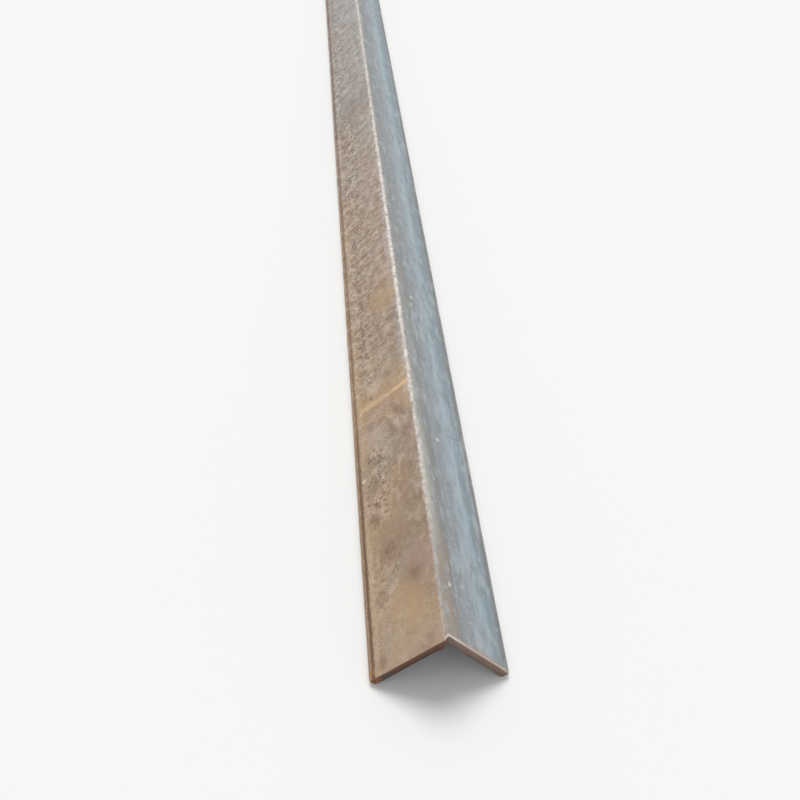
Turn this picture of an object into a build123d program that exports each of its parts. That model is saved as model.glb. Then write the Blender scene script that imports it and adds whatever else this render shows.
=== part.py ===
from build123d import *
from math import sqrt
import os

# A bar of hot-rolled steel angle: two equal legs at a right angle, rolled as one piece.
#
# The bar lies as it rests on a floor by itself, heel up, on the rounded inner corners of its two toes.
# +Y runs along the bar, +Z is up, z = 0 is the floor and y = 0 is mid-length.  Lengths are in millimetres.

os.makedirs("parts", exist_ok=True)

# ---- driving dimensions

leg_width = 50.0  # heel to toe, along a leg's outer face
leg_thickness = 5.0
root_radius = 5.5  # the fillet in the inner corner, between the legs
toe_radius = 1.7  # a toe's inner corner, which the rolls leave round
toe_edge_radius = 0.6  # a toe's outer corner, nearly sharp
heel_radius = 1.5  # the outer corner between the legs
bar_length = 6000.0  # one bar as the mill cuts it, square at both ends

# ---- where the section lies

# The section is drawn with its sharp heel corner at (0, 0), one leg along x and the other along y.
# Heel up, the point (x, y) then lies (x + y) / sqrt(2) below that corner.  The lowest point of a leg
# is on its toe's inner rounding, straight below the rounding's centre.
toe_centre = (leg_width - toe_radius, leg_thickness - toe_radius)
heel_height = sum(toe_centre) / sqrt(2) + toe_radius

section_plane = Plane(
    origin=(0, -bar_length / 2, heel_height),
    x_dir=(1, 0, -1),  # down along the leg on the +X side
    z_dir=(0, 1, 0),  # along the bar
)

# ---- the bar

with BuildPart() as angle_section:
    with BuildSketch(section_plane) as section:
        with BuildLine():
            Polyline(
                (0, 0),
                (leg_width, 0),
                (leg_width, leg_thickness),
                (leg_thickness, leg_thickness),
                (leg_thickness, leg_width),
                (0, leg_width),
                close=True,
            )
        make_face()

        def corner(x, y):
            """The corner of the section nearest to (x, y)."""
            return section.vertices().sort_by_distance((x, y))[0]

        fillet(corner(leg_thickness, leg_thickness), root_radius)
        fillet(corner(0, 0), heel_radius)
        for x, y in [(leg_width, 0), (0, leg_width)]:
            fillet(corner(x, y), toe_edge_radius)
        for x, y in [(leg_width, leg_thickness), (leg_thickness, leg_width)]:
            fillet(corner(x, y), toe_radius)
    extrude(amount=bar_length)

angle_section.part.label = "angle_section"
export_step(angle_section.part, "parts/angle_section.step")
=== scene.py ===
"""A bar of hot-rolled steel angle, lying heel up on a pale studio floor.

The rolled bar is one closed surface: its section, carried along the bar, with the shallow relief that
rolling, shearing and handling leave.  All of that relief goes into the steel, so that the bar keeps its
size.  Lengths are in metres, +Y runs along the bar, +Z is up and z = 0 is the floor.
"""

import math
from collections import namedtuple

import bpy
import numpy as np
from bpy.props import FloatProperty, FloatVectorProperty, PointerProperty
from bpy.types import NodeSocket, Operator, Panel, PropertyGroup
from mathutils import Matrix, Vector


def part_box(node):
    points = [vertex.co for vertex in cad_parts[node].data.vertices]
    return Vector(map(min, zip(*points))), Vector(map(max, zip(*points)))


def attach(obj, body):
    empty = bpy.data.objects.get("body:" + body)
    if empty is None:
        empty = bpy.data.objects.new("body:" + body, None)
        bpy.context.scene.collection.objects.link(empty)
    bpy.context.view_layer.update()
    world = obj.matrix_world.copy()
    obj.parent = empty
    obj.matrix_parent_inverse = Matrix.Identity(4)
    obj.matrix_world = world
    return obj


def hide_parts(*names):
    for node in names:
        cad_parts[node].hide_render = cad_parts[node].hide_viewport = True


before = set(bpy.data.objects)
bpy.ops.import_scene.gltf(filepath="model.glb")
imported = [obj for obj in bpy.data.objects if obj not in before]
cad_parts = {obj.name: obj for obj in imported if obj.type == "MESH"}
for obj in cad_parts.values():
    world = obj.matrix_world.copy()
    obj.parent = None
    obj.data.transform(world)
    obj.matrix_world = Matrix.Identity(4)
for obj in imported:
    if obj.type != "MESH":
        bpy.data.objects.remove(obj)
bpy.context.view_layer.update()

bl_info = {
    "name": "Rolled steel angle",
    "version": (1, 0, 0),
    "blender": (4, 5, 0),
    "location": "3D View > Sidebar > Angle bar",
    "description": "Builds a bar of hot-rolled steel angle with mill scale, rust and sheared ends",
    "category": "Object",
}

NODE = "angle_section"
MM = 0.001
BAR_LOW, BAR_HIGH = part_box(NODE)
FRONT_END = BAR_LOW[1]
BAR_LENGTH = BAR_HIGH[1] - BAR_LOW[1]


def linear(hex_colour):
    """The linear red, green and blue of an sRGB colour written as six hex digits."""
    parts = [int(hex_colour[i : i + 2], 16) / 255 for i in (0, 2, 4)]
    return tuple(c / 12.92 if c <= 0.04045 else ((c + 0.055) / 1.055) ** 2.4 for c in parts)


# ---- settings


def length_setting(name, description, default):
    """A length in metres that a user can change."""
    return FloatProperty(
        name=name, description=description, default=default, min=0.0, unit="LENGTH", subtype="DISTANCE"
    )


def colour_setting(name, description, hex_colour):
    """A colour that a user can change, given as sRGB hex."""
    return FloatVectorProperty(
        name=name, description=description, default=linear(hex_colour), min=0.0, max=1.0, subtype="COLOR"
    )


class AngleSectionSettings(PropertyGroup):
    leg_width: length_setting("Leg width", "Heel to toe, along a leg's outer face", 0.050)
    leg_thickness: length_setting("Leg thickness", "Thickness of both legs", 0.005)
    root_radius: length_setting("Root radius", "Fillet between the legs, inside", 0.0055)
    toe_radius: length_setting("Toe radius", "Round inner corner of each toe", 0.0017)
    toe_edge_radius: length_setting("Toe edge radius", "Nearly sharp outer corner of each toe", 0.0006)
    heel_radius: length_setting("Heel radius", "Outer corner between the legs", 0.0015)
    wave_depth: length_setting("Roll wave depth", "Depth of the long waves that the rolls leave", 0.00010)
    pit_depth: length_setting("Scale pit depth", "Depth of the dimples where scale was rolled in", 0.00006)
    heel_wear: length_setting("Heel wear", "How far the heel is rubbed and knocked down", 0.00045)
    toe_wear: length_setting("Toe wear", "How far the toes are knocked in", 0.00030)
    shear_round: length_setting("Shear rounding", "How far the shear pulled the outer edges in", 0.00035)
    cut_grain: length_setting("Cut grain", "Depth of the torn grain on a cut end", 0.00030)
    heel_setback: length_setting("Heel setback", "How far back the right leg ends, beside the heel", 0.0031)
    toe_setback: length_setting("Toe setback", "How far back the right leg ends, at its toe", 0.0005)


class AngleFinishSettings(PropertyGroup):
    film_rust: colour_setting("Film rust", "Thin tan rust over the left leg", "A38F7C")
    film_rust_warm: colour_setting("Warm film rust", "Smoother, yellower rust near the front end", "AE957A")
    film_rust_pink: colour_setting("Pinkish film rust", "Its thinner, pinkish patches", "A58A7E")
    film_rust_gold: colour_setting("Golden film rust", "Its fresher, yellower patches", "AD9169")
    film_rust_olive: colour_setting("Olive film rust", "Its greyish olive patches", "8F887A")
    film_rust_dark: colour_setting("Dark film rust", "Its darker mottling", "86705E")
    # Also painted shade: the dark line along each toe.
    film_rust_deep_and_shade: colour_setting("Deep film rust", "Its darkest spots and grains", "6E5443")
    film_rust_pale: colour_setting("Pale film rust", "Its dusty, rubbed highlights", "C2B1A0")
    aged_scale: colour_setting("Aged scale", "Dull grey scale further along the left leg", "9D9B99")
    aged_scale_dark: colour_setting("Dark aged scale", "Its darker mottling", "86827F")
    # Also painted highlight: the pale strip beside the heel on the left leg.
    aged_scale_pale_and_highlight: colour_setting("Pale aged scale", "Its paler mottling", "B9B6B3")
    blue_scale: colour_setting("Blue scale", "Clean mill scale of the right leg", "8F9296")
    blue_scale_pale: colour_setting("Pale blue scale", "Its lightest lengthwise streak", "A1B0BA")
    blue_scale_green: colour_setting("Greenish scale", "Its greener side, towards the toe", "859AA4")
    # Also painted shade: the darkening towards the right toe.
    blue_scale_dark_and_shade: colour_setting("Dark blue scale", "Its darker streaks, and the toe", "7B8487")
    scale_fleck: colour_setting("Scale fleck", "Its pale flecks", "B4BBC0")
    heel_band: colour_setting("Heel band", "Grey-brown scale beside the heel", "8A8885")
    heel_band_pale: colour_setting("Pale heel band", "Paler scale next to the heel line", "A09B94")
    heel_band_warm: colour_setting("Warm heel band", "The same scale near the front end", "9B8B7B")
    # The heel line is worn steel, made paler by a painted highlight.
    heel_line: colour_setting("Heel line", "The pale line along the heel", "C6C0B9")
    heel_chalky: colour_setting("Chalky heel", "Greenish-white scale beside the heel line", "AFADA2")
    # Worn steel, partly a painted highlight.
    rubbed_steel_and_highlight: colour_setting("Rubbed steel", "Bright worn spots of heel and edges", "DAD3CB")
    pit_black: colour_setting("Pit black", "The dark bottoms of pits", "4B4A49")
    cut_rust: colour_setting("Cut rust", "Reddish-brown rust on a cut end", "6C4A38")
    cut_rust_dark: colour_setting("Dark cut rust", "Its dark band and grain", "3B2416")
    cut_rust_grey: colour_setting("Greyish cut rust", "Its thinner, greyer part on the right leg", "8C786D")
    cut_rust_pale: colour_setting("Pale cut rust", "Its crumbly highlights", "8E7263")
    # Sheared steel, partly a painted highlight along the cut edge.
    cut_rim: colour_setting("Cut rim", "The pale edge that the shear left above a cut", "C6B2A2")
    orange_rust: colour_setting("Orange rust", "Fresh rust that collects at the toes", "AE7440")
    root_rust: colour_setting("Root rust", "Brown rust that runs down into the root", "7E6453")
    scratch_tan: colour_setting("Scratch tan", "Pale orange where a scratch opened the film rust", "D6B48E")


class AngleStageSettings(PropertyGroup):
    focal_px: FloatProperty(name="Focal length", description="In pixels of the picture", default=870.0)
    roll: FloatProperty(
        name="Roll",
        description="How far the picture is turned clockwise",
        default=math.radians(4.0),
        unit="ROTATION",
        subtype="ANGLE",
    )
    front_width_px: FloatProperty(
        name="Front width", description="How wide the front end looks, in pixels", default=150.0
    )
    heel_px: FloatVectorProperty(
        name="Heel place",
        description="Where the front end's heel is seen, in pixels",
        size=2,
        default=(446.0, 640.0),
    )
    vanishing_px: FloatVectorProperty(
        name="Vanishing point",
        description="Where the bar's lines meet, above the picture, in pixels",
        size=2,
        default=(299.0, -413.0),
    )
    floor_size: length_setting("Floor size", "Side of the square floor", 60.0)
    floor_colour: colour_setting("Floor colour", "Plain pale floor", "ECECEB")


# ---- the shape of the bar

HEEL_STEPS = 3  # steps along half of the heel's arc
HEEL_SIDE_STEPS = 2  # along the stretch of the outer face beside the heel
OUTER_STEPS = 13  # along the rest of a leg's outer face
TOE_EDGE_STEPS = 2
TOE_STEPS = 2  # across the flat of a toe
TOE_ARC_STEPS = 3
INNER_STEPS = 12  # along a leg's inner face
ROOT_STEPS = 5  # along half of the root's arc
TOE_START = HEEL_STEPS + HEEL_SIDE_STEPS + OUTER_STEPS
HALF_STEPS = TOE_START + TOE_EDGE_STEPS + TOE_STEPS + TOE_ARC_STEPS + INNER_STEPS + ROOT_STEPS
RING = 2 * HALF_STEPS  # points round the whole section
HEEL_SIDE = 4.5 * MM  # how far from the heel's corner the points stand closer
CAP_HALF = TOE_START + 1  # columns of a cut end from the heel to a toe
CAP_ROWS = HALF_STEPS - 2 * CAP_HALF  # rows of a cut end, from its outer edge to its inner edge


def arc(centre, radius, start, end, steps):
    """Points and outward directions of an arc, without its last point: centre + radius (cos a, sin a)."""
    angle = np.radians(np.linspace(start, end, steps, endpoint=False))
    outward = np.stack([np.cos(angle), np.sin(angle)], axis=1)
    return np.array(centre) + radius * outward, outward


def face(start, end, outward, steps):
    """Points and outward directions of a straight stretch, without its last point."""
    part = np.linspace(0.0, 1.0, steps, endpoint=False)[:, None]
    return (1 - part) * np.array(start) + part * np.array(end), np.tile(outward, (steps, 1))


def half_section(bar):
    """One leg's outline from the heel to the root: (n, 2) points and their outward directions.

    The first coordinate runs along the leg from the sharp heel corner and the second goes into its
    thickness.  Arcs and straight stretches follow one another, each without its last point.
    """
    wide, thick = bar.leg_width, bar.leg_thickness
    heel, edge, toe, root = bar.heel_radius, bar.toe_edge_radius, bar.toe_radius, bar.root_radius
    root_centre = thick + root
    stretches = [
        arc((heel, heel), heel, 225, 270, HEEL_STEPS),
        face((heel, 0), (HEEL_SIDE, 0), (0, -1), HEEL_SIDE_STEPS),
        face((HEEL_SIDE, 0), (wide - edge, 0), (0, -1), OUTER_STEPS),
        arc((wide - edge, edge), edge, 270, 360, TOE_EDGE_STEPS),
        face((wide, edge), (wide, thick - toe), (1, 0), TOE_STEPS),
        arc((wide - toe, thick - toe), toe, 0, 90, TOE_ARC_STEPS),
        face((wide - toe, thick), (root_centre, thick), (0, 1), INNER_STEPS),
        arc((root_centre, root_centre), root, 270, 225, ROOT_STEPS),
    ]
    points = np.concatenate([p for p, _ in stretches])
    outward = np.concatenate([o for _, o in stretches])
    outward[-ROOT_STEPS:] *= -1  # the root is hollow, so its open side is towards the arc's centre
    crown = np.full(2, root_centre - root * math.sqrt(0.5))
    points = np.vstack([points, crown])
    outward = np.vstack([outward, np.full(2, math.sqrt(0.5))])
    return points, outward


def section_ring(bar):
    """The whole section as a closed ring, clockwise as seen from the front end, starting at the heel.

    Returns the points' x and z, their outward directions' x and z, and each point's place on the
    surface: across, the signed distance from the heel or the root, and depth, from the outer face.
    """
    points, outward = half_section(bar)
    corner = (bar.leg_width - bar.toe_radius, bar.leg_thickness - bar.toe_radius)
    heel_height = sum(corner) * math.sqrt(0.5) + bar.toe_radius
    turn = math.sqrt(0.5) * np.array([[1, -1], [-1, -1]])
    place = points @ turn.T + (0, heel_height)
    normal = outward @ turn.T
    run = np.concatenate([[0.0], np.cumsum(np.linalg.norm(np.diff(points, axis=0), axis=1))])
    knots = [0.0, run[TOE_START], run[HALF_STEPS - INNER_STEPS - ROOT_STEPS], run[-1]]
    across = np.interp(run, knots, [0.0, bar.leg_width, bar.leg_width, 0.0])
    depth = np.interp(run, knots, [0.0, 0.0, bar.leg_thickness, bar.leg_thickness])
    back = np.arange(HALF_STEPS - 1, 0, -1)
    mirror = np.array([-1.0, 1.0])
    return (
        np.vstack([place, place[back] * mirror]),
        np.vstack([normal, normal[back] * mirror]),
        np.concatenate([across, -across[back]]),
        np.concatenate([depth, depth[back]]),
    )


# Distance from the front end, and how far apart the sections stand there.  They stand closer where the
# bar is seen from near by and at both cut edges.
STATIONS = (
    (0.0, 0.4 * MM),
    (0.004, 1.8 * MM),
    (0.60, 1.8 * MM),
    (1.50, 9 * MM),
    (BAR_LENGTH - 0.30, 9 * MM),
    (BAR_LENGTH - 0.10, 3.5 * MM),
    (BAR_LENGTH - 0.004, 3.5 * MM),
    (BAR_LENGTH, 0.4 * MM),
)
FINE = 20000  # samples along the bar for the count of sections


def stations():
    """Distances of the sections from the front end: the count of sections grows by 1 / gap per metre."""
    along = np.linspace(0.0, BAR_LENGTH, FINE)
    rate = 1 / np.interp(along, *zip(*STATIONS))
    count = np.concatenate([[0.0], np.cumsum((rate[1:] + rate[:-1]) / 2 * np.diff(along))])
    return np.interp(np.linspace(0.0, count[-1], int(count[-1])), count, along)


NOISE_SIZE = 256  # unit squares after which the noise repeats


def smooth_noise(x, y, seed):
    """Values between 0 and 1: random ones at the corners of unit squares, joined by smoothstep."""
    table = np.random.default_rng(seed).random((NOISE_SIZE, NOISE_SIZE))
    x, y = np.broadcast_arrays(x, y)
    i, j = np.floor(x).astype(int), np.floor(y).astype(int)
    across, up = x - i, y - j
    across, up = across * across * (3 - 2 * across), up * up * (3 - 2 * up)
    i, j, next_i, next_j = (n % NOISE_SIZE for n in (i, j, i + 1, j + 1))
    low = table[i, j] * (1 - across) + table[next_i, j] * across
    high = table[i, next_j] * (1 - across) + table[next_i, next_j] * across
    return low * (1 - up) + high * up


def above(value, start):
    """0 up to start, rising to 1 where value is 1."""
    return np.clip((value - start) / (1 - start), 0.0, 1.0)


def near(distance, reach):
    """A bell round distance 0: exp(-(distance / reach) squared)."""
    return np.exp(-((distance / reach) ** 2))


# Each kind of mark in the steel: its length along the bar, its width round the section, and its seed.
WAVES = (70 * MM, 20 * MM, 1)
PITS = (6.5 * MM, 5 * MM, 2)
RUBBING = (19 * MM, 4 * MM, 3)
RUBBED_GRIT = (8.3 * MM, 1 * MM, 8)
HEEL_KNOCKS = (6.1 * MM, 3 * MM, 4)
TOE_DENTS = (10 * MM, 1.0, 5)  # a toe's marks change along the bar alone: across is its side, -1 or 1
TOE_KNOCKS = (4.5 * MM, 0.5, 6)
CUT_EDGE = (2.6 * MM, 2 * MM, 7)  # unevenness of the edge that the shear pulled in: across and in depth
KNOCKED_HEEL, KNOCKED_TOE = 0.78, 0.74  # noise above this is a knock
FACES_APART = 400 / MM  # sets the noise of a leg's two faces far apart, by their depth
# How far the marks reach from the heel's line, from a toe, and from a cut.
HEEL_REACH, TOE_REACH, CUT_REACH = 2.2 * MM, 1.6 * MM, 0.7 * MM
OUTER_SKIN = 0.2  # the share of the thickness that counts as the outer face
INNER_SHEAR = 0.35  # how much of the shear's rounding the inner edges get


def marks(kind, along, across, offset=0.0):
    """The noise of one kind of mark."""
    length, width, seed = kind
    return smooth_noise(along / length, across / width + offset, seed)


def relief(along, across, depth, bar):
    """How far the surface lies below the rolled outline, in metres: the sum of the marks in it."""
    apart = FACES_APART * depth
    waves, pits = marks(WAVES, along, across, apart / 4), marks(PITS, along, across, apart)
    down = bar.wave_depth * waves + bar.pit_depth * pits
    outer = depth < bar.leg_thickness * OUTER_SKIN
    heel = near(across, HEEL_REACH) * outer
    rubbed = 0.3 * marks(RUBBING, along, across) + 0.2 * marks(RUBBED_GRIT, along, across)
    knocked = above(marks(HEEL_KNOCKS, along, across), KNOCKED_HEEL)
    down = down + heel * bar.heel_wear * (rubbed + 0.5 * knocked)
    toe = near(bar.leg_width - np.abs(across), TOE_REACH)
    dents = marks(TOE_DENTS, along, np.sign(across), 2.5)
    knocks = above(marks(TOE_KNOCKS, along, np.sign(across), 7.5), KNOCKED_TOE)
    down = down + toe * bar.toe_wear * (0.5 * dents + 0.5 * knocks)
    end = np.minimum(along, BAR_LENGTH - along)
    uneven = 0.6 + 0.4 * marks(CUT_EDGE, across, depth)
    return down + bar.shear_round * near(end, CUT_REACH) * uneven * np.where(outer, 1.0, INNER_SHEAR)


HEEL_STEP = (-0.8 * MM, 2.7 * MM)  # where the cut steps back, going from the left leg to the right one
SHEAR_REACH = 30.0 * MM  # how far along the bar the shear pulled the steel


def setback(along, across, bar):
    """How far the shear pushed a point along the bar: nothing on the left leg, and on the right one most
    beside the heel and less and less towards its toe.  It dies out evenly over SHEAR_REACH."""
    knots = (*HEEL_STEP, bar.leg_width)
    pushed = np.interp(across, knots, (0.0, bar.heel_setback, bar.toe_setback))
    return pushed * np.clip(1 - along / SHEAR_REACH, 0.0, 1.0)


# Torn steel on a cut end: how wide its grain and its tears are, across and in depth.
GRAIN = (1.7 * MM, 1.6 * MM)
TEARS = (5.2 * MM, 4 * MM)
FRONT_SEED, BACK_SEED = 11, 21
EDGE_TORN = 0.4  # how much of the tearing reaches a cut end's own edges


def cut_recess(across, depth, seed, bar):
    """How far a cut end lies behind its plane: torn grain, deeper in the half that broke last."""
    grain, tears = marks((*GRAIN, seed), across, depth), marks((*TEARS, seed + 1), across, depth)
    torn = 0.5 + 0.5 * np.clip(depth / bar.leg_thickness, 0.0, 1.0)
    return bar.cut_grain * (0.45 * grain + 0.55 * tears) * torn


def bar_points(bar):
    """Every point of the bar as (n, 3) arrays, in space and on its surface, and the count of sections.

    The rings come first, one section after another.  The inside points of the front cut end and then of
    the back one follow, each a blend (1 - w) outer + w inner of the edge points on both sides of the wall.
    """
    outline, outward, across, depth = section_ring(bar)
    along = stations()
    down = relief(along[:, None], across[None, :], depth[None, :], bar)
    x = outline[:, 0] - outward[:, 0] * down
    z = outline[:, 1] - outward[:, 1] * down
    count = len(along)
    y = along[:, None] + setback(along[:, None], across[None, :], bar)
    y[0] += EDGE_TORN * cut_recess(across, depth, FRONT_SEED, bar)
    y[-1] -= EDGE_TORN * cut_recess(across, depth, BACK_SEED, bar)
    rings = np.stack([x, y + FRONT_END, z], axis=2)
    places = np.stack(np.broadcast_arrays(across[None, :], along[:, None], depth[None, :]), axis=2)
    points, on_surface = [rings.reshape(-1, 3)], [places.reshape(-1, 3)]
    columns = np.arange(-CAP_HALF + 1, CAP_HALF)
    weight = (np.arange(1, CAP_ROWS) / CAP_ROWS)[:, None, None]
    for station, inward, seed in ((0, 1.0, FRONT_SEED), (count - 1, -1.0, BACK_SEED)):
        outer, inner = columns % RING, HALF_STEPS - columns
        cap = (1 - weight) * rings[station, outer] + weight * rings[station, inner]
        flat = (1 - weight) * places[station, outer] + weight * places[station, inner]
        plane = along[station] + setback(along[station], flat[..., 0], bar)
        cap[..., 1] = plane + FRONT_END + inward * cut_recess(flat[..., 0], flat[..., 2], seed, bar)
        points.append(cap.reshape(-1, 3))
        on_surface.append(flat.reshape(-1, 3))
    return np.concatenate(points), np.concatenate(on_surface), count


def bar_faces(count):
    """The bar's quads, outward: its long sides, then the front cut end, then the back one."""
    first = np.arange(RING)
    side = np.stack([first, (first + 1) % RING, (first + 1) % RING + RING, first + RING], axis=1)
    sides = (side[None] + RING * np.arange(count - 1)[:, None, None]).reshape(-1, 4)
    inside = (CAP_ROWS - 1) * (2 * CAP_HALF - 1)
    columns = np.arange(-CAP_HALF, CAP_HALF + 1)
    caps = []
    for end in range(2):
        ring = end * (count - 1) * RING
        grid = np.empty((CAP_ROWS + 1, len(columns)), int)
        grid[0], grid[-1] = ring + columns % RING, ring + HALF_STEPS - columns
        grid[:, -1] = ring + CAP_HALF + np.arange(CAP_ROWS + 1)
        grid[:, 0] = ring + RING - CAP_HALF - np.arange(CAP_ROWS + 1)
        start = count * RING + end * inside
        grid[1:-1, 1:-1] = start + np.arange(inside).reshape(CAP_ROWS - 1, -1)
        quads = np.stack([grid[:-1, :-1], grid[1:, :-1], grid[1:, 1:], grid[:-1, 1:]], axis=2)
        caps.append(quads.reshape(-1, 4)[:, :: (1, -1)[end]])
    return sides, caps[0], caps[1]


MAP_ROWS = 5  # the long sides are laid out in this many strips, one above another
MAP_GAP = 0.008  # between them, in metres
CAP_ENLARGED = 3.0  # the cut ends get more room than their size
CAP_PITCH = 0.24  # from one cut end to the other on the map, in metres


def bake_map(points, on_surface, sides, caps, count):
    """UV of every corner of every face, in metres laid flat, then fitted to the unit square.

    A side's corner is at its distance along its strip, and up the strip by its distance round the
    section.  A cut end is its own outline, enlarged, above the strips.
    """
    ring = points[:RING, [0, 2]]
    steps = np.linalg.norm(np.diff(np.vstack([ring, ring[:1]]), axis=0), axis=1)
    run = np.concatenate([[0.0], np.cumsum(steps)])
    along = on_surface[: count * RING : RING, 1]
    strip = BAR_LENGTH / MAP_ROWS
    station, turn = np.divmod(np.arange(len(sides)), RING)
    row = np.minimum((along[station] + along[station + 1]) / 2 // strip, MAP_ROWS - 1)
    start, top = row * strip, MAP_GAP + row * (run[-1] + MAP_GAP)
    u0, u1 = along[station] - start + MAP_GAP, along[station + 1] - start + MAP_GAP
    v0, v1 = run[turn] + top, run[turn + 1] + top
    laid = [np.stack([np.stack([u0, u0, u1, u1], 1), np.stack([v0, v1, v1, v0], 1)], 2)]
    ceiling = MAP_GAP + MAP_ROWS * (run[-1] + MAP_GAP)
    for cap, left in zip(caps, (MAP_GAP, MAP_GAP + CAP_PITCH)):
        corners = points[cap]
        u = (corners[..., 0] - BAR_LOW[0]) * CAP_ENLARGED + left
        v = corners[..., 2] * CAP_ENLARGED + ceiling
        laid.append(np.stack([u, v], axis=2))
    laid = np.concatenate(laid).reshape(-1, 2)
    return laid / (laid.max() + MAP_GAP)


OUTER_FINISH, INNER_FINISH, CUT_FINISH = 0, 1, 2


def bar_mesh(bar):
    """The bar's mesh, with its smooth sides, sharp cut edges, finishes, surface places and bake map."""
    points, on_surface, count = bar_points(bar)
    sides, front, back = bar_faces(count)
    quads = np.concatenate([sides, front, back])
    mesh = bpy.data.meshes.new("rolled_bar")
    mesh.from_pydata(points, [], quads)
    mesh.polygons.foreach_set("use_smooth", np.ones(len(quads), bool))
    toe_end = CAP_HALF + CAP_ROWS
    turn = np.arange(len(sides)) % RING
    finish = np.full(len(quads), CUT_FINISH)
    finish[: len(sides)] = np.where((turn >= toe_end) & (turn < RING - toe_end), INNER_FINISH, OUTER_FINISH)
    mesh.polygons.foreach_set("material_index", finish)
    edges = np.empty(len(mesh.edges) * 2, int)
    mesh.edges.foreach_get("vertices", edges)
    edges = edges.reshape(-1, 2)
    last = (count - 1) * RING
    at_front = (edges < RING).all(axis=1)
    at_back = ((edges >= last) & (edges < last + RING)).all(axis=1)
    sharp = mesh.attributes.new("sharp_edge", "BOOLEAN", "EDGE")
    sharp.data.foreach_set("value", at_front | at_back)
    place = mesh.attributes.new("place_mm", "FLOAT_VECTOR", "POINT")
    place.data.foreach_set("vector", (on_surface / MM).ravel())
    layout = mesh.uv_layers.new(name="OFBake")
    layout.uv.foreach_set("vector", bake_map(points, on_surface, sides, (front, back), count).ravel())
    mesh.update()
    return mesh


# ---- finishes
#
# Patterns are drawn in millimetres on the bar's surface.  Single grains of film rust and of scale are one
# or two tenths of a millimetre across, too fine to show, so the finest patterns are drawn at about 1 mm.

FACTOR, FIRST, SECOND, MIXED = 0, 6, 7, 2  # a colour Mix node's sockets
BACK_END = BAR_LENGTH / MM
ROLLED_STRETCH = 45.0  # a streak from the rolls is this many times as long as it is wide
SMEARED_STRETCH = 2.5  # and so is a blotch of scale that the rolls smeared
SLICE = 8.7  # millimetres: the patterns are cut at this height, off the planes on which noise is dullest
MOTTLE_SIZE = 10.0
PEEL_SIZE = 2.4  # the pebbles of the inner faces
GRIT_SIZE, GRIT_HEIGHT = 1.3, 0.14  # the sandy feel of the rust: grain and height
CRUMB_SIZE, CRUMB_HEIGHT = 1.1, 0.5  # the crumbly rust of a cut
PEEL_HEIGHT = 0.35

# How much of the left leg is under film rust, by millimetres from the front end.
RUST_ALONG = (
    (0.0, 1.0),
    (325.0, 1.0),
    (490.0, 0.85),
    (540.0, 0.6),
    (590.0, 0.32),
    (900.0, 0.08),
    (1300.0, 0.02),
    (BACK_END - 700.0, 0.1),
    (BACK_END - 250.0, 0.7),
    (BACK_END, 1.0),
)

# Scratches across the left leg: millimetres from the front end, and width.
FRESH_SCRATCH = (185.0, 3.0)
RUBBED_SCRATCH = (1300.0, 2.4)

# How strong a round mark is, by its distance from the centre in radii.
SPOTTED = ((0.0, 0.85), (0.5, 0.8), (1.1, 0.0))
SMUDGED = ((0.0, 0.55), (0.5, 0.45), (1.6, 0.0))
RINGED = ((0.0, 0.25), (0.45, 0.25), (0.8, 0.75), (1.3, 0.0))

# Round marks: millimetres across and along, radius, how they fade, and their colour.
LEFT_MARKS = (
    (-37.0, 80.0, 17.0, SMUDGED, "film_rust_gold"),
    (-9.0, 53.0, 10.0, SMUDGED, "film_rust_pink"),
    (-15.0, 47.0, 6.0, SMUDGED, "film_rust_dark"),
    (-38.0, 118.0, 7.0, SMUDGED, "film_rust_dark"),
    (-34.0, 157.0, 7.0, SMUDGED, "film_rust_pale"),
    (-36.0, 188.0, 13.0, SMUDGED, "film_rust_gold"),
    (-14.0, 188.0, 13.0, SMUDGED, "film_rust_gold"),
    (-26.0, 76.0, 12.0, SMUDGED, "film_rust_dark"),
    (-13.9, 45.6, 3.2, SMUDGED, "film_rust_deep_and_shade"),
    (-38.0, 41.0, 4.2, RINGED, "film_rust_dark"),
    (-17.0, 27.0, 12.0, SMUDGED, "film_rust_gold"),
    (-29.0, 68.0, 5.0, SMUDGED, "film_rust_deep_and_shade"),
    (-37.6, 93.7, 4.0, SMUDGED, "film_rust_deep_and_shade"),
    (-40.5, 6.0, 3.5, SMUDGED, "film_rust_deep_and_shade"),
    (-12.0, 285.0, 14.0, SMUDGED, "film_rust_gold"),
    (-14.0, 605.0, 30.0, SMUDGED, "aged_scale_dark"),
    (-30.0, 199.0, 6.0, SMUDGED, "film_rust_pale"),
    (-32.6, 191.0, 1.8, SPOTTED, "film_rust_deep_and_shade"),
    (-42.6, 183.0, 1.8, SPOTTED, "film_rust_pale"),
    (-44.0, 127.0, 1.4, SPOTTED, "rubbed_steel_and_highlight"),
    (-29.0, 121.0, 1.4, SPOTTED, "film_rust_pale"),
)
RIGHT_MARKS = (
    (19.5, 144.0, 1.5, SPOTTED, "rubbed_steel_and_highlight"),
    (9.2, 35.0, 1.3, SPOTTED, "rubbed_steel_and_highlight"),
    (15.5, 284.0, 2.0, SPOTTED, "rubbed_steel_and_highlight"),
    (14.0, 274.0, 2.0, SPOTTED, "heel_line"),
    (2.0, 91.0, 1.6, SPOTTED, "pit_black"),
    (5.2, 90.0, 1.3, SPOTTED, "pit_black"),
    (1.0, 43.0, 1.5, SMUDGED, "pit_black"),
)

# Where a node tree finds itself on the bar: a vector for patterns, and three numbers in millimetres.
Spot = namedtuple("Spot", ("place", "across", "along", "depth"))


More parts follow.
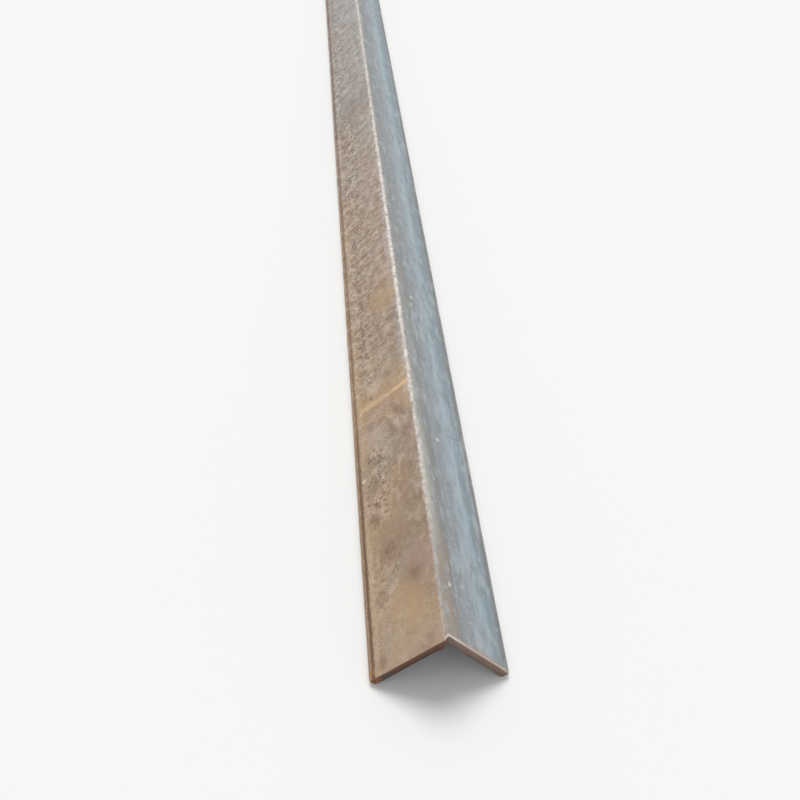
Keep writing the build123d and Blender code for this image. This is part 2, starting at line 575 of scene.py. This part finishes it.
def add(tree, kind, inputs=(), out=0, stops=None, **settings):
    """Adds a node of that kind and returns its output.  inputs maps its sockets to values or outputs,
    stops are a colour ramp's places and colours, and settings are the node's own properties."""
    node = tree.nodes.new(kind)
    for name, value in settings.items():
        setattr(node, name, value)
    if stops:
        elements = node.color_ramp.elements
        while len(elements) < len(stops):
            elements.new(1.0)
        for element, (position, colour) in zip(elements, stops):
            element.position, element.color = position, colour
    for key, value in dict(inputs).items():
        if isinstance(value, NodeSocket):
            tree.links.new(value, node.inputs[key])
        else:
            node.inputs[key].default_value = value
    return node.outputs[out] if node.outputs else node


def surface_spot(tree):
    """The spot being shaded: across from the heel or root, along from the front end, and below the outer
    face.  Its vector is lifted by SLICE."""
    place = add(tree, "ShaderNodeAttribute", attribute_name="place_mm", out="Vector")
    lifted = add(tree, "ShaderNodeVectorMath", {0: place, 1: (0.0, 0.0, SLICE)})
    return Spot(lifted, *add(tree, "ShaderNodeSeparateXYZ", {0: place}, out=slice(0, 3)))


def grey(value):
    """A number as a colour with that value in each channel."""
    return (value, value, value, 1.0)


def graded(tree, value, *stops):
    """Colours or numbers along a value: each stop is a value and what holds there, and between them it
    changes evenly.  Numbers go through the ramp's alpha, which takes less room in a shader than colour."""
    first, last = stops[0][0], stops[-1][0]
    part = add(tree, "ShaderNodeMapRange", {"Value": value, "From Min": first, "From Max": last})
    places = [(at - first) / (last - first) for at, _ in stops]
    if isinstance(stops[0][1], float):
        shades = [(at, (0.0, 0.0, 0.0, number)) for at, (_, number) in zip(places, stops)]
        return add(tree, "ShaderNodeValToRGB", {0: part}, "Alpha", stops=shades)
    shades = [(at, (*colour, 1.0)) for at, (_, colour) in zip(places, stops)]
    return add(tree, "ShaderNodeValToRGB", {0: part}, "Color", stops=shades)


def patches(tree, place, size, start, full, most=1.0, detail=4.0):
    """A mask of ragged patches of about size millimetres: noise, 0 up to start and most from full on."""
    noise = add(tree, "ShaderNodeTexNoise", {"Vector": place, "Scale": 1 / size, "Detail": detail})
    ends = {"From Min": start, "From Max": full, "To Max": most}
    return add(tree, "ShaderNodeMapRange", {"Value": noise, **ends})


def product(tree, *masks):
    """Where all of the masks hold: their product."""
    result = masks[0]
    for mask in masks[1:]:
        result = add(tree, "ShaderNodeMath", {0: result, 1: mask}, operation="MULTIPLY")
    return result


def zone(tree, spot, across, along, *masks):
    """A mask from how strong a finish is by millimetres across and along, each None or a ramp's stops, and
    from other masks."""
    sides = ((spot.across, across), (spot.along, along))
    return product(tree, *(graded(tree, at, *stops) for at, stops in sides if stops), *masks)


def strayed(tree, place, value, size, reach):
    """The value with its lines made ragged: reach millimetres to and fro over about size millimetres."""
    noise = add(tree, "ShaderNodeTexNoise", {"Vector": place, "Scale": 1 / size}, normalize=False)
    return add(tree, "ShaderNodeMath", {0: noise, 1: reach, 2: value}, operation="MULTIPLY_ADD")


def layered(tree, lowest, *layers):
    """Coats laid one over another, each a mask and its coat: a colour, a roughness and a metallic."""
    result = lowest
    for mask, over in layers:
        result = [
            add(tree, "ShaderNodeMix", {FACTOR: mask, FIRST: old, SECOND: new}, MIXED, data_type="RGBA")
            for old, new in zip(result, over)
        ]
    return result


def coat(colour, roughness, metallic=0.0):
    """A coat of one finish."""
    shade = colour if isinstance(colour, NodeSocket) else (*colour, 1.0)
    return [shade, grey(roughness), grey(metallic)]


def raised(tree, *marks):
    """A height in millimetres: the sum of each mark's pattern times its height."""
    height = 0.0
    for pattern, amount in marks:
        height = add(tree, "ShaderNodeMath", {0: pattern, 1: amount, 2: height}, operation="MULTIPLY_ADD")
    return height


def new_finish(name):
    """An empty material, and its node tree."""
    material = bpy.data.materials.new(name)
    material.use_nodes = True
    material.node_tree.nodes.clear()
    return material, material.node_tree


def finish_with(tree, coats, height):
    """The shader of a finish, from its coats and its height in millimetres."""
    colour, roughness, metallic = coats
    bump = add(tree, "ShaderNodeBump", {"Height": height, "Strength": 1.0, "Distance": MM})
    shader = add(
        tree,
        "ShaderNodeBsdfPrincipled",
        {"Base Color": colour, "Roughness": roughness, "Metallic": metallic, "Normal": bump},
    )
    add(tree, "ShaderNodeOutputMaterial", {"Surface": shader})


def scratch(tree, spot, along, width):
    """A ragged scratch across the left leg, that far from the front end, strongest at the heel."""
    distance = strayed(tree, spot.place, spot.along, 12.0, 0.9)
    distance = add(tree, "ShaderNodeMath", {0: distance, 1: along}, operation="SUBTRACT")
    distance = add(tree, "ShaderNodeMath", {0: distance}, operation="ABSOLUTE")
    ends = {"From Min": 0.8 * width, "From Max": 0.3 * width}
    line = add(tree, "ShaderNodeMapRange", {"Value": distance, **ends})
    across = ((-44.5, 0.0), (-42.0, 0.5), (-26.0, 0.5), (-18.0, 0.9), (-2.0, 1.0))
    return zone(tree, spot, across, None, line)


def round_marks(tree, look, spot, marks):
    """Layers for ragged round marks, each with its own centre, radius, fading and colour."""
    layers = []
    for across, along, radius, fading, colour in marks:
        ends = {0: spot.place, 1: (across, along, SLICE)}
        distance = add(tree, "ShaderNodeVectorMath", ends, "Value", operation="DISTANCE")
        distance = strayed(tree, spot.place, distance, 0.6 * radius, 0.5 * radius)
        mask = graded(tree, distance, *((part * radius, strength) for part, strength in fading))
        layers.append((mask, coat(getattr(look, colour), 0.85)))
    return layers


def left_leg_coats(tree, look, spot):
    """Dull tan film rust near the front end, thinning out to aged grey scale along the leg.

    Returns the coats, and the masks of its pits and its grains.
    """
    place = spot.place
    noise = {"Vector": place, "Scale": 1 / MOTTLE_SIZE, "Detail": 6.0, "Roughness": 0.64}
    mottle = add(tree, "ShaderNodeTexNoise", noise)
    film, aged = (
        graded(tree, mottle, (0.38, darker), (0.48, plain), (0.53, plain), (0.63, paler))
        for darker, plain, paler in (
            (look.film_rust_dark, look.film_rust, look.film_rust_pale),
            (look.aged_scale_dark, look.aged_scale, look.aged_scale_pale_and_highlight),
        )
    )
    rusty = graded(tree, strayed(tree, place, spot.along, 70.0, 110.0), *RUST_ALONG)
    dark = layered(tree, coat(look.aged_scale_dark, 0.8), (rusty, coat(look.film_rust_dark, 0.9)))
    pale = layered(tree, coat(look.aged_scale_pale_and_highlight, 0.8), (rusty, coat(look.film_rust_pale, 0.85)))
    deep = coat(look.film_rust_deep_and_shade, 0.9)

    # Smooth changes of colour over the leg.
    warm = zone(
        tree, spot,
        ((-28.0, 1.0), (0.0, 0.75)),
        ((0.0, 0.75), (35.0, 0.8), (62.0, 0.4), (120.0, 0.3), (145.0, 0.0)),
        patches(tree, place, 12.0, 0.3, 0.5),
    )
    shaded = zone(
        tree, spot,
        ((-26.0, 0.0), (-14.0, 0.6), (0.0, 0.6)),
        ((20.0, 0.0), (40.0, 1.0), (120.0, 0.9), (175.0, 0.0)),
    )
    toe_gold = zone(
        tree, spot,
        ((-45.5, 0.9), (-36.0, 0.0)),
        ((5.0, 0.5), (100.0, 0.3), (170.0, 1.0), (400.0, 1.0), (500.0, 0.0)),
    )
    toe_dull = zone(
        tree, spot,
        ((-45.5, 0.65), (-36.0, 0.0)),
        ((540.0, 0.0), (600.0, 1.0), (900.0, 1.0), (1500.0, 0.0)),
    )
    # A pale strip beside the heel on the left leg: a painted highlight of the rounded heel, spread onto the
    # face.
    heel_side_highlight = zone(
        tree, spot,
        ((-8.0, 0.0), (-4.0, 0.5), (-1.0, 0.5)),
        ((30.0, 0.0), (180.0, 0.3), (220.0, 0.8), (480.0, 0.8), (600.0, 0.3)),
        patches(tree, place, 5.0, 0.34, 0.54),
    )
    cleared = zone(
        tree, spot, None,
        ((200.0, 0.0), (320.0, 1.0), (620.0, 1.0), (800.0, 0.0)),
        patches(tree, place, 17.0, 0.44, 0.62, 0.4, 2.0),
    )
    drifts = [
        (product(tree, patches(tree, place, size, start, full, most), rusty), coat(colour, roughness))
        for size, start, full, most, colour, roughness in (
            (21.0, 0.50, 0.66, 0.6, look.film_rust_olive, 0.80),
            (28.0, 0.52, 0.66, 0.7, look.film_rust_pink, 0.88),
            (17.0, 0.55, 0.70, 0.7, look.film_rust_gold, 0.90),
        )
    ]

    # Mottling: broad blotches further along the leg, smaller ones, and specks everywhere.
    broad = zone(
        tree, spot,
        ((-46.0, 1.0), (-33.0, 1.0), (-21.0, 0.4), (-4.0, 0.4)),
        ((150.0, 0.0), (200.0, 0.8), (300.0, 1.0), (900.0, 1.0), (1500.0, 0.4)),
    )
    small = graded(
        tree, spot.along, (6.0, 0.2), (40.0, 0.35), (70.0, 0.6), (280.0, 0.65), (340.0, 0.85),
        (440.0, 0.85), (500.0, 1.0), (900.0, 1.0), (1500.0, 0.6),
    )
    mottling = [
        (product(tree, patches(tree, place, size, start, full, most, detail), *where), shade)
        for size, start, full, most, detail, where, shade in (
            (8.0, 0.50, 0.60, 0.85, 2.0, [broad], dark),
            (9.3, 0.51, 0.61, 0.85, 2.0, [broad], pale),
            (4.1, 0.52, 0.64, 0.70, 4.0, [small], dark),
            (4.9, 0.53, 0.65, 0.60, 4.0, [small], pale),
            (0.9, 0.52, 0.66, 0.28, 2.0, [], dark),
            (1.1, 0.54, 0.66, 0.25, 2.0, [], pale),
        )
    ]

    # The rougher side towards the toe, the pits and what frays at the cut.
    rough = zone(
        tree, spot,
        ((-46.0, 0.6), (-42.0, 1.0), (-30.0, 1.0), (-16.0, 0.1)),
        (
            (30.0, 0.1), (65.0, 0.7), (105.0, 0.9), (138.0, 0.9), (150.0, 0.3), (188.0, 0.3),
            (200.0, 0.75), (330.0, 0.8), (450.0, 0.95), (700.0, 0.95), (1200.0, 0.3),
        ),
    )
    grains = product(tree, patches(tree, place, 2.3, 0.54, 0.63, 0.85, 2.0), rough)
    dust = product(tree, patches(tree, place, 2.7, 0.55, 0.65, 0.55, 2.0), rough)
    pitted = product(
        tree, patches(tree, place, 1.6, 0.57, 0.70, 0.6, 2.0), patches(tree, place, 24.0, 0.46, 0.60)
    )
    frayed = zone(
        tree, spot, None,
        ((0.0, 0.8), (7.0, 0.7), (13.0, 0.0)),
        patches(tree, place, 1.5, 0.46, 0.56, 0.7, 2.0),
    )
    opened = product(
        tree, scratch(tree, spot, *FRESH_SCRATCH), patches(tree, place, 9.0, 0.24, 0.46, 0.85)
    )
    worn = product(tree, scratch(tree, spot, *RUBBED_SCRATCH), patches(tree, place, 9.0, 0.35, 0.5, 0.6))
    coats = layered(
        tree,
        coat(aged, 0.65, 0.1),
        (rusty, coat(film, 0.88)),
        (warm, coat(look.film_rust_warm, 0.88)),
        *drifts,
        (shaded, coat(look.film_rust_dark, 0.88)),
        (toe_gold, coat(look.film_rust_gold, 0.9)),
        (toe_dull, coat(look.film_rust_dark, 0.88)),
        (cleared, coat(look.aged_scale, 0.7, 0.1)),
        *mottling,
        (pitted, deep),
        (frayed, coat(look.film_rust_pink, 0.9)),
        (heel_side_highlight, coat(look.aged_scale_pale_and_highlight, 0.8)),
        (dust, pale),
        (grains, deep),
        *round_marks(tree, look, spot, LEFT_MARKS),
        (opened, coat(look.scratch_tan, 0.8)),
        (worn, coat(look.rubbed_steel_and_highlight, 0.5, 0.4)),
    )
    return coats, pitted, grains


def right_leg_coats(tree, look, spot):
    """Smooth blue-grey scale in lengthwise streaks: browner by the heel, palest past half way and darker at
    the toe, partly with painted shade."""
    place = spot.place
    rolled = add(tree, "ShaderNodeMapping", {"Vector": place, "Scale": (1.0, 1 / ROLLED_STRETCH, 1.0)})
    smeared = add(tree, "ShaderNodeMapping", {"Vector": place, "Scale": (1.0, 1 / SMEARED_STRETCH, 1.0)})
    drift = strayed(tree, rolled, spot.across, 9.0, 2.5)
    browner = graded(tree, spot.along, (110.0, 0.0), (320.0, 2.5))
    drift = add(tree, "ShaderNodeMath", {0: drift, 1: browner}, operation="ADD")
    # Past 35 mm the scale darkens towards the toe: partly its own darker scale, partly painted shade.
    scale = graded(
        tree,
        drift,
        (1.0, look.heel_band_pale),
        (10.5, look.heel_band),
        (16.0, look.blue_scale),
        (20.0, look.blue_scale),
        (33.0, look.blue_scale_pale),
        (35.0, look.blue_scale_pale),
        (39.0, look.blue_scale_green),
        (49.0, look.blue_scale_dark_and_shade),
    )
    warm = zone(tree, spot, ((9.0, 0.9), (15.0, 0.0)), ((50.0, 1.0), (85.0, 0.0)))
    streak = zone(
        tree, spot, None, ((140.0, 1.0), (190.0, 0.0)),
        graded(tree, drift, (6.0, 0.0), (9.5, 0.16), (12.0, 0.16), (16.0, 0.0)),
    )
    at_cut = zone(
        tree, spot, ((16.0, 0.2), (25.0, 1.0), (36.0, 1.0), (42.0, 0.2)), ((1.0, 0.7), (5.0, 0.0))
    )
    mottling = [
        (patches(tree, vector, size, start, full, most, detail), coat(colour, roughness, metallic))
        for vector, size, start, full, most, detail, colour, roughness, metallic in (
            (rolled, 1.1, 0.50, 0.66, 0.40, 4.0, look.blue_scale_dark_and_shade, 0.60, 0.1),
            (rolled, 1.5, 0.52, 0.68, 0.40, 4.0, look.blue_scale_pale, 0.55, 0.1),
            (smeared, 9.0, 0.48, 0.66, 0.30, 4.0, look.heel_band, 0.65, 0.1),
            (smeared, 5.0, 0.50, 0.66, 0.52, 4.0, look.blue_scale_dark_and_shade, 0.65, 0.1),
            (smeared, 5.6, 0.52, 0.68, 0.52, 4.0, look.scale_fleck, 0.65, 0.1),
            (place, 1.0, 0.52, 0.66, 0.25, 2.0, look.blue_scale_dark_and_shade, 0.65, 0.1),
            (place, 3.1, 0.60, 0.72, 0.50, 3.0, look.scale_fleck, 0.70, 0.0),
        )
    ]
    return layered(
        tree,
        coat(scale, 0.62, 0.1),
        (warm, coat(look.heel_band_warm, 0.7)),
        (streak, coat(look.pit_black, 0.7)),
        *mottling,
        (at_cut, coat(look.film_rust_pink, 0.85)),
        *round_marks(tree, look, spot, RIGHT_MARKS),
    )


def heel_layers(tree, look, spot, ragged):
    """The layer of chalky scale beside the heel, the layers of its bright line and the beads on it, worn
    steel brightened with a painted highlight, and the mask of the beads."""
    place = spot.place
    chalky = zone(
        tree, spot, None,
        ((40.0, 0.0), (55.0, 0.3), (80.0, 0.9), (135.0, 0.9), (165.0, 0.2), (250.0, 0.0)),
        graded(tree, ragged, (0.0, 0.0), (1.0, 0.9), (3.5, 0.8), (8.0, 0.0)),
    )
    line = strayed(tree, place, spot.across, 4.0, 1.1)
    shift = graded(tree, spot.along, (150.0, 0.7), (185.0, 0.0))
    from_line = add(tree, "ShaderNodeMath", {0: line, 1: shift}, operation="SUBTRACT")
    from_line = add(tree, "ShaderNodeMath", {0: from_line}, operation="ABSOLUTE")
    bright = (
        (32.0, 0.1), (50.0, 0.2), (85.0, 0.3), (125.0, 0.5),
        (190.0, 0.55), (240.0, 0.75), (540.0, 0.8), (600.0, 0.5),
    )
    worn = zone(
        tree, spot, None, bright,
        graded(tree, from_line, (1.0, 1.0), (2.4, 0.0)), patches(tree, place, 6.0, 0.3, 0.46),
    )
    beads = zone(
        tree, spot, None, bright,
        graded(tree, from_line, (1.4, 1.0), (2.6, 0.0)), patches(tree, place, 3.4, 0.47, 0.56, 0.95, 1.0),
    )
    # Worn steel on the heel, made brighter by a painted highlight.
    layers = [
        (worn, coat(look.heel_line, 0.55, 0.2)),
        (beads, coat(look.rubbed_steel_and_highlight, 0.5, 0.2)),
    ]
    return (chalky, coat(look.heel_chalky, 0.8)), layers, beads


def toe_layers(tree, look, spot):
    """Layers for the left toe, fainter on the right one: a pale line, a dark line of painted shade and a
    tan edge.
    """
    from_middle = add(tree, "ShaderNodeMath", {0: spot.across}, operation="ABSOLUTE")
    edge = strayed(tree, spot.place, from_middle, 2.5, 0.6)
    on_left = ((-1.0, 1.0), (1.0, 0.3))
    return [
        (zone(tree, spot, on_left, along, graded(tree, edge, *line)), coat(colour, roughness))
        for line, along, colour, roughness in (
            (((41.0, 0.0), (43.0, 0.2), (44.6, 0.2), (45.8, 0.0)), None, look.film_rust_pale, 0.85),
            # The dark line along the toe is painted shade.
            (
                ((45.6, 0.0), (46.6, 1.0), (48.0, 1.0), (48.8, 0.0)), ((100.0, 1.0), (200.0, 0.65)),
                look.film_rust_deep_and_shade, 0.85,
            ),
            (((48.6, 0.0), (49.4, 0.6)), ((80.0, 1.0), (220.0, 0.5)), look.film_rust_dark, 0.8),
        )
    ]


def outer_finish(look):
    """Mill scale with film rust: hot rolling leaves a hard blue-grey oxide, and weather turns it tan.

    To the eye the right leg is smooth and streaked, the left one dull and mottled, and the heel between
    them a knobbly bright line, rubbed down to the steel, its brightness partly a painted highlight.
    """
    material, tree = new_finish("mill_scale_with_film_rust")
    spot = surface_spot(tree)
    left, pitted, grains = left_leg_coats(tree, look, spot)
    ragged = strayed(tree, spot.place, spot.across, 3.0, 1.5)
    on_right = add(tree, "ShaderNodeMapRange", {"Value": ragged, "From Min": -1.0, "From Max": 1.0})
    chalky, heel, beads = heel_layers(tree, look, spot, ragged)
    orange = zone(
        tree, spot,
        ((-49.0, 1.0), (-43.0, 0.0)),
        ((0.0, 0.8), (4.0, 0.4), (12.0, 0.0)),
        patches(tree, spot.place, 4.0, 0.40, 0.56),
    )
    # A pale line along the top edge of a cut: sheared steel, partly a painted highlight.
    rim = zone(
        tree, spot,
        ((-1.0, 0.0), (0.5, 1.0), (14.0, 1.0), (22.0, 0.7), (40.0, 0.7), (46.0, 1.0)),
        ((0.9, 0.9), (1.8, 0.0)),
        patches(tree, spot.place, 3.0, 0.30, 0.44),
    )
    rim_colour = graded(tree, spot.across, (3.0, look.rubbed_steel_and_highlight), (18.0, look.cut_rim))
    coats = layered(
        tree,
        left,
        (on_right, right_leg_coats(tree, look, spot)),
        chalky,
        *toe_layers(tree, look, spot),
        (orange, coat(look.orange_rust, 0.9)),
        *heel,
        (rim, coat(rim_colour, 0.7)),
    )
    grit = add(tree, "ShaderNodeTexNoise", {"Vector": spot.place, "Scale": 1 / GRIT_SIZE, "Detail": 4.0})
    smoother = add(tree, "ShaderNodeMapRange", {"Value": on_right, "To Min": 1.0, "To Max": 0.3})
    height = raised(
        tree, (product(tree, grit, smoother), GRIT_HEIGHT), (pitted, -0.10), (grains, -0.08), (beads, 0.08)
    )
    finish_with(tree, coats, height)
    return material


def inner_finish(look):
    """Mill scale with an orange-peel skin, as the rolls leave it inside, and brown rust in the root.

    To the eye it is pale blue-grey, pebbled every few millimetres, with dark dots between the pebbles.
    """
    material, tree = new_finish("orange_peel_mill_scale")
    spot = surface_spot(tree)
    peel = add(tree, "ShaderNodeTexNoise", {"Vector": spot.place, "Scale": 1 / PEEL_SIZE, "Detail": 3.0})
    skin = graded(tree, peel, (0.34, look.pit_black), (0.44, look.blue_scale), (0.66, look.blue_scale_pale))
    from_root = add(tree, "ShaderNodeMath", {0: spot.across}, operation="ABSOLUTE")
    from_root = strayed(tree, spot.place, from_root, 14.0, 7.0)
    rusted = graded(tree, from_root, (2.0, 0.9), (8.0, 0.7), (14.0, 0.0))
    rust = graded(tree, peel, (0.3, look.film_rust_deep_and_shade), (0.55, look.root_rust), (0.8, look.film_rust))
    coats = layered(
        tree,
        coat(skin, 0.5, 0.3),
        (patches(tree, spot.place, 40.0, 0.58, 0.70, 0.6), coat(look.film_rust, 0.85)),
        (rusted, coat(rust, 0.9)),
    )
    finish_with(tree, coats, raised(tree, (peel, PEEL_HEIGHT)))
    return material


def cut_finish(look):
    """Sheared steel, rusted dark: the shear smears the upper part and tears the lower one.

    To the eye it is a crumbly brown, darker towards its lower edge, greyer on the right leg and almost
    black beside the left toe, with a little fresh orange rust.
    """
    material, tree = new_finish("rusted_sheared_steel")
    spot = surface_spot(tree)
    place = spot.place
    noise = {"Vector": place, "Scale": 1 / CRUMB_SIZE, "Detail": 5.0, "Roughness": 0.65}
    grain = add(tree, "ShaderNodeTexNoise", noise)
    rust = graded(
        tree,
        grain,
        (0.30, look.cut_rust_dark),
        (0.46, look.cut_rust),
        (0.60, look.cut_rust),
        (0.78, look.cut_rust_pale),
    )
    lower = strayed(tree, place, spot.depth, 3.0, 0.8)
    greyer = zone(tree, spot, ((-1.0, 0.0), (4.0, 0.9)), None, patches(tree, place, 3.0, 0.25, 0.45))
    band = zone(
        tree, spot, ((-47.0, 0.3), (-43.0, 1.0), (-4.0, 0.9), (4.0, 0.6), (40.0, 0.6)), None,
        graded(tree, lower, (1.2, 0.0), (2.5, 0.25), (3.8, 0.5), (5.0, 0.6)),
    )
    smudge = zone(
        tree, spot, ((-46.0, 0.0), (-43.0, 0.7), (-39.0, 0.7), (-35.0, 0.0)), None,
        graded(tree, lower, (0.8, 0.0), (2.2, 1.0)), patches(tree, place, 3.0, 0.34, 0.5),
    )
    orange = zone(tree, spot, ((-49.0, 0.8), (-44.0, 0.0)), None, patches(tree, place, 2.5, 0.42, 0.56))
    coats = layered(
        tree,
        coat(rust, 0.9),
        (greyer, coat(look.cut_rust_grey, 0.85)),
        (band, coat(look.cut_rust_dark, 0.9)),
        (smudge, coat(look.pit_black, 0.85)),
        (orange, coat(look.orange_rust, 0.9)),
    )
    finish_with(tree, coats, raised(tree, (grain, CRUMB_HEIGHT)))
    return material


# ---- operators


class BuildBar(Operator):
    """Builds the rolled bar in place of its plain solid"""

    bl_idname = "angle_bar.build_bar"
    bl_label = "Build rolled bar"

    def execute(self, context):
        mesh = bar_mesh(context.scene.angle_section_settings)
        look = context.scene.angle_finish_settings
        for material in (outer_finish(look), inner_finish(look), cut_finish(look)):
            mesh.materials.append(material)
        bar = bpy.data.objects.new("rolled_angle_bar", mesh)
        context.scene.collection.objects.link(bar)
        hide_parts(NODE)
        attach(bar, "root")
        return {"FINISHED"}


PICTURE_PX = 800.0  # width and height of the picture that the camera's pixels are counted in
SENSOR = 36.0
SKY_STRENGTH = 0.58  # at which pale things stay below white
KEY_STRENGTH, KEY_SPREAD = 1.9, math.radians(30.0)
KEY_FROM = (-0.05, 0.5, 0.86)
CAMERA_RAY, GLOSSY_RAY, TRANSMISSION_RAY = 0, 3, 6  # a Light Path node's outputs
SEEN_FROM, SEEN_TO = 0.01, 200.0  # the nearest and farthest that the camera sees, in metres


def build_camera(scene, stage):
    """The camera that sees the bar's lines meet at the vanishing point and its front end where asked."""
    focal, half = stage.focal_px, PICTURE_PX / 2
    along = Vector(((stage.vanishing_px[0] - half) / focal, (half - stage.vanishing_px[1]) / focal, -1.0))
    along.normalize()
    roll = Matrix.Rotation(-stage.roll, 3, "Z")
    level = roll.transposed() @ along
    pitch = math.atan2(level.y, -level.z)
    up = roll @ Vector((0.0, math.cos(pitch), math.sin(pitch)))
    turned = Matrix((along.cross(up), along, up))
    distance = focal * (BAR_HIGH[0] - BAR_LOW[0]) / stage.front_width_px
    ray = Vector(((stage.heel_px[0] - half) / focal, (half - stage.heel_px[1]) / focal, -1.0))
    heel = Vector((0.0, FRONT_END, BAR_HIGH[2]))
    camera = bpy.data.objects.new("camera", bpy.data.cameras.new("camera"))
    camera.data.sensor_width = SENSOR
    camera.data.lens = SENSOR * focal / PICTURE_PX
    camera.data.clip_start, camera.data.clip_end = SEEN_FROM, SEEN_TO
    camera.matrix_world = Matrix.Translation(heel - turned @ ray * distance) @ turned.to_4x4()
    scene.collection.objects.link(camera)
    scene.camera = camera


class BuildStage(Operator):
    """Builds the floor, the soft lights and the camera"""

    bl_idname = "angle_bar.build_stage"
    bl_label = "Build stage"

    def execute(self, context):
        scene, stage = context.scene, context.scene.angle_stage_settings
        half = stage.floor_size / 2
        mesh = bpy.data.meshes.new("floor")
        corners = [(-half, -half, 0), (half, -half, 0), (half, half, 0), (-half, half, 0)]
        mesh.from_pydata(corners, [], [(0, 1, 2, 3)])
        floor = bpy.data.objects.new("floor", mesh)
        scene.collection.objects.link(floor)
        material, tree = new_finish("pale_matt_floor")
        colour = (*stage.floor_colour, 1.0)
        shader = add(tree, "ShaderNodeBsdfPrincipled", {"Base Color": colour, "Roughness": 0.9})
        add(tree, "ShaderNodeOutputMaterial", {"Surface": shader})
        mesh.materials.append(material)
        world = bpy.data.worlds.new("soft_white_studio")
        world.use_nodes = True
        world.node_tree.nodes.clear()
        scene.world = world
        tree = world.node_tree
        rays = add(tree, "ShaderNodeLightPath", out=slice(None))
        seen = {0: rays[CAMERA_RAY], 1: rays[GLOSSY_RAY]}
        seen = {0: add(tree, "ShaderNodeMath", seen, operation="ADD"), 1: rays[TRANSMISSION_RAY]}
        seen = add(tree, "ShaderNodeMath", seen, operation="ADD", use_clamp=True)
        strength = add(tree, "ShaderNodeMapRange", {"Value": seen, "To Min": SKY_STRENGTH, "To Max": 1.0})
        light = add(tree, "ShaderNodeBackground", {"Color": (1.0, 1.0, 1.0, 1.0), "Strength": strength})
        add(tree, "ShaderNodeOutputWorld", {"Surface": light})
        light = bpy.data.lights.new("key", "SUN")
        light.energy, light.angle = KEY_STRENGTH, KEY_SPREAD
        lamp = bpy.data.objects.new("key", light)
        lamp.rotation_euler = Vector(KEY_FROM).to_track_quat("Z", "Y").to_euler()
        scene.collection.objects.link(lamp)
        build_camera(scene, stage)
        scene.view_settings.view_transform = "Standard"
        return {"FINISHED"}


class AngleBarPanel(Panel):
    bl_idname = "VIEW3D_PT_angle_bar"
    bl_label = "Angle bar"
    bl_space_type = "VIEW_3D"
    bl_region_type = "UI"
    bl_category = "Angle bar"

    def draw(self, context):
        for settings in (
            context.scene.angle_section_settings,
            context.scene.angle_finish_settings,
            context.scene.angle_stage_settings,
        ):
            column = self.layout.column()
            for name in settings.__annotations__:
                column.prop(settings, name)
        self.layout.operator(BuildBar.bl_idname)
        self.layout.operator(BuildStage.bl_idname)


SETTINGS = {
    "angle_section_settings": AngleSectionSettings,
    "angle_finish_settings": AngleFinishSettings,
    "angle_stage_settings": AngleStageSettings,
}
CLASSES = (*SETTINGS.values(), BuildBar, BuildStage, AngleBarPanel)


def register():
    for made in CLASSES:
        bpy.utils.register_class(made)
    for name, made in SETTINGS.items():
        setattr(bpy.types.Scene, name, PointerProperty(type=made))


def unregister():
    for name in SETTINGS:
        delattr(bpy.types.Scene, name)
    for made in reversed(CLASSES):
        bpy.utils.unregister_class(made)


def main():
    register()
    bpy.ops.angle_bar.build_bar()
    bpy.ops.angle_bar.build_stage()


if __name__ == "__main__":
    main()
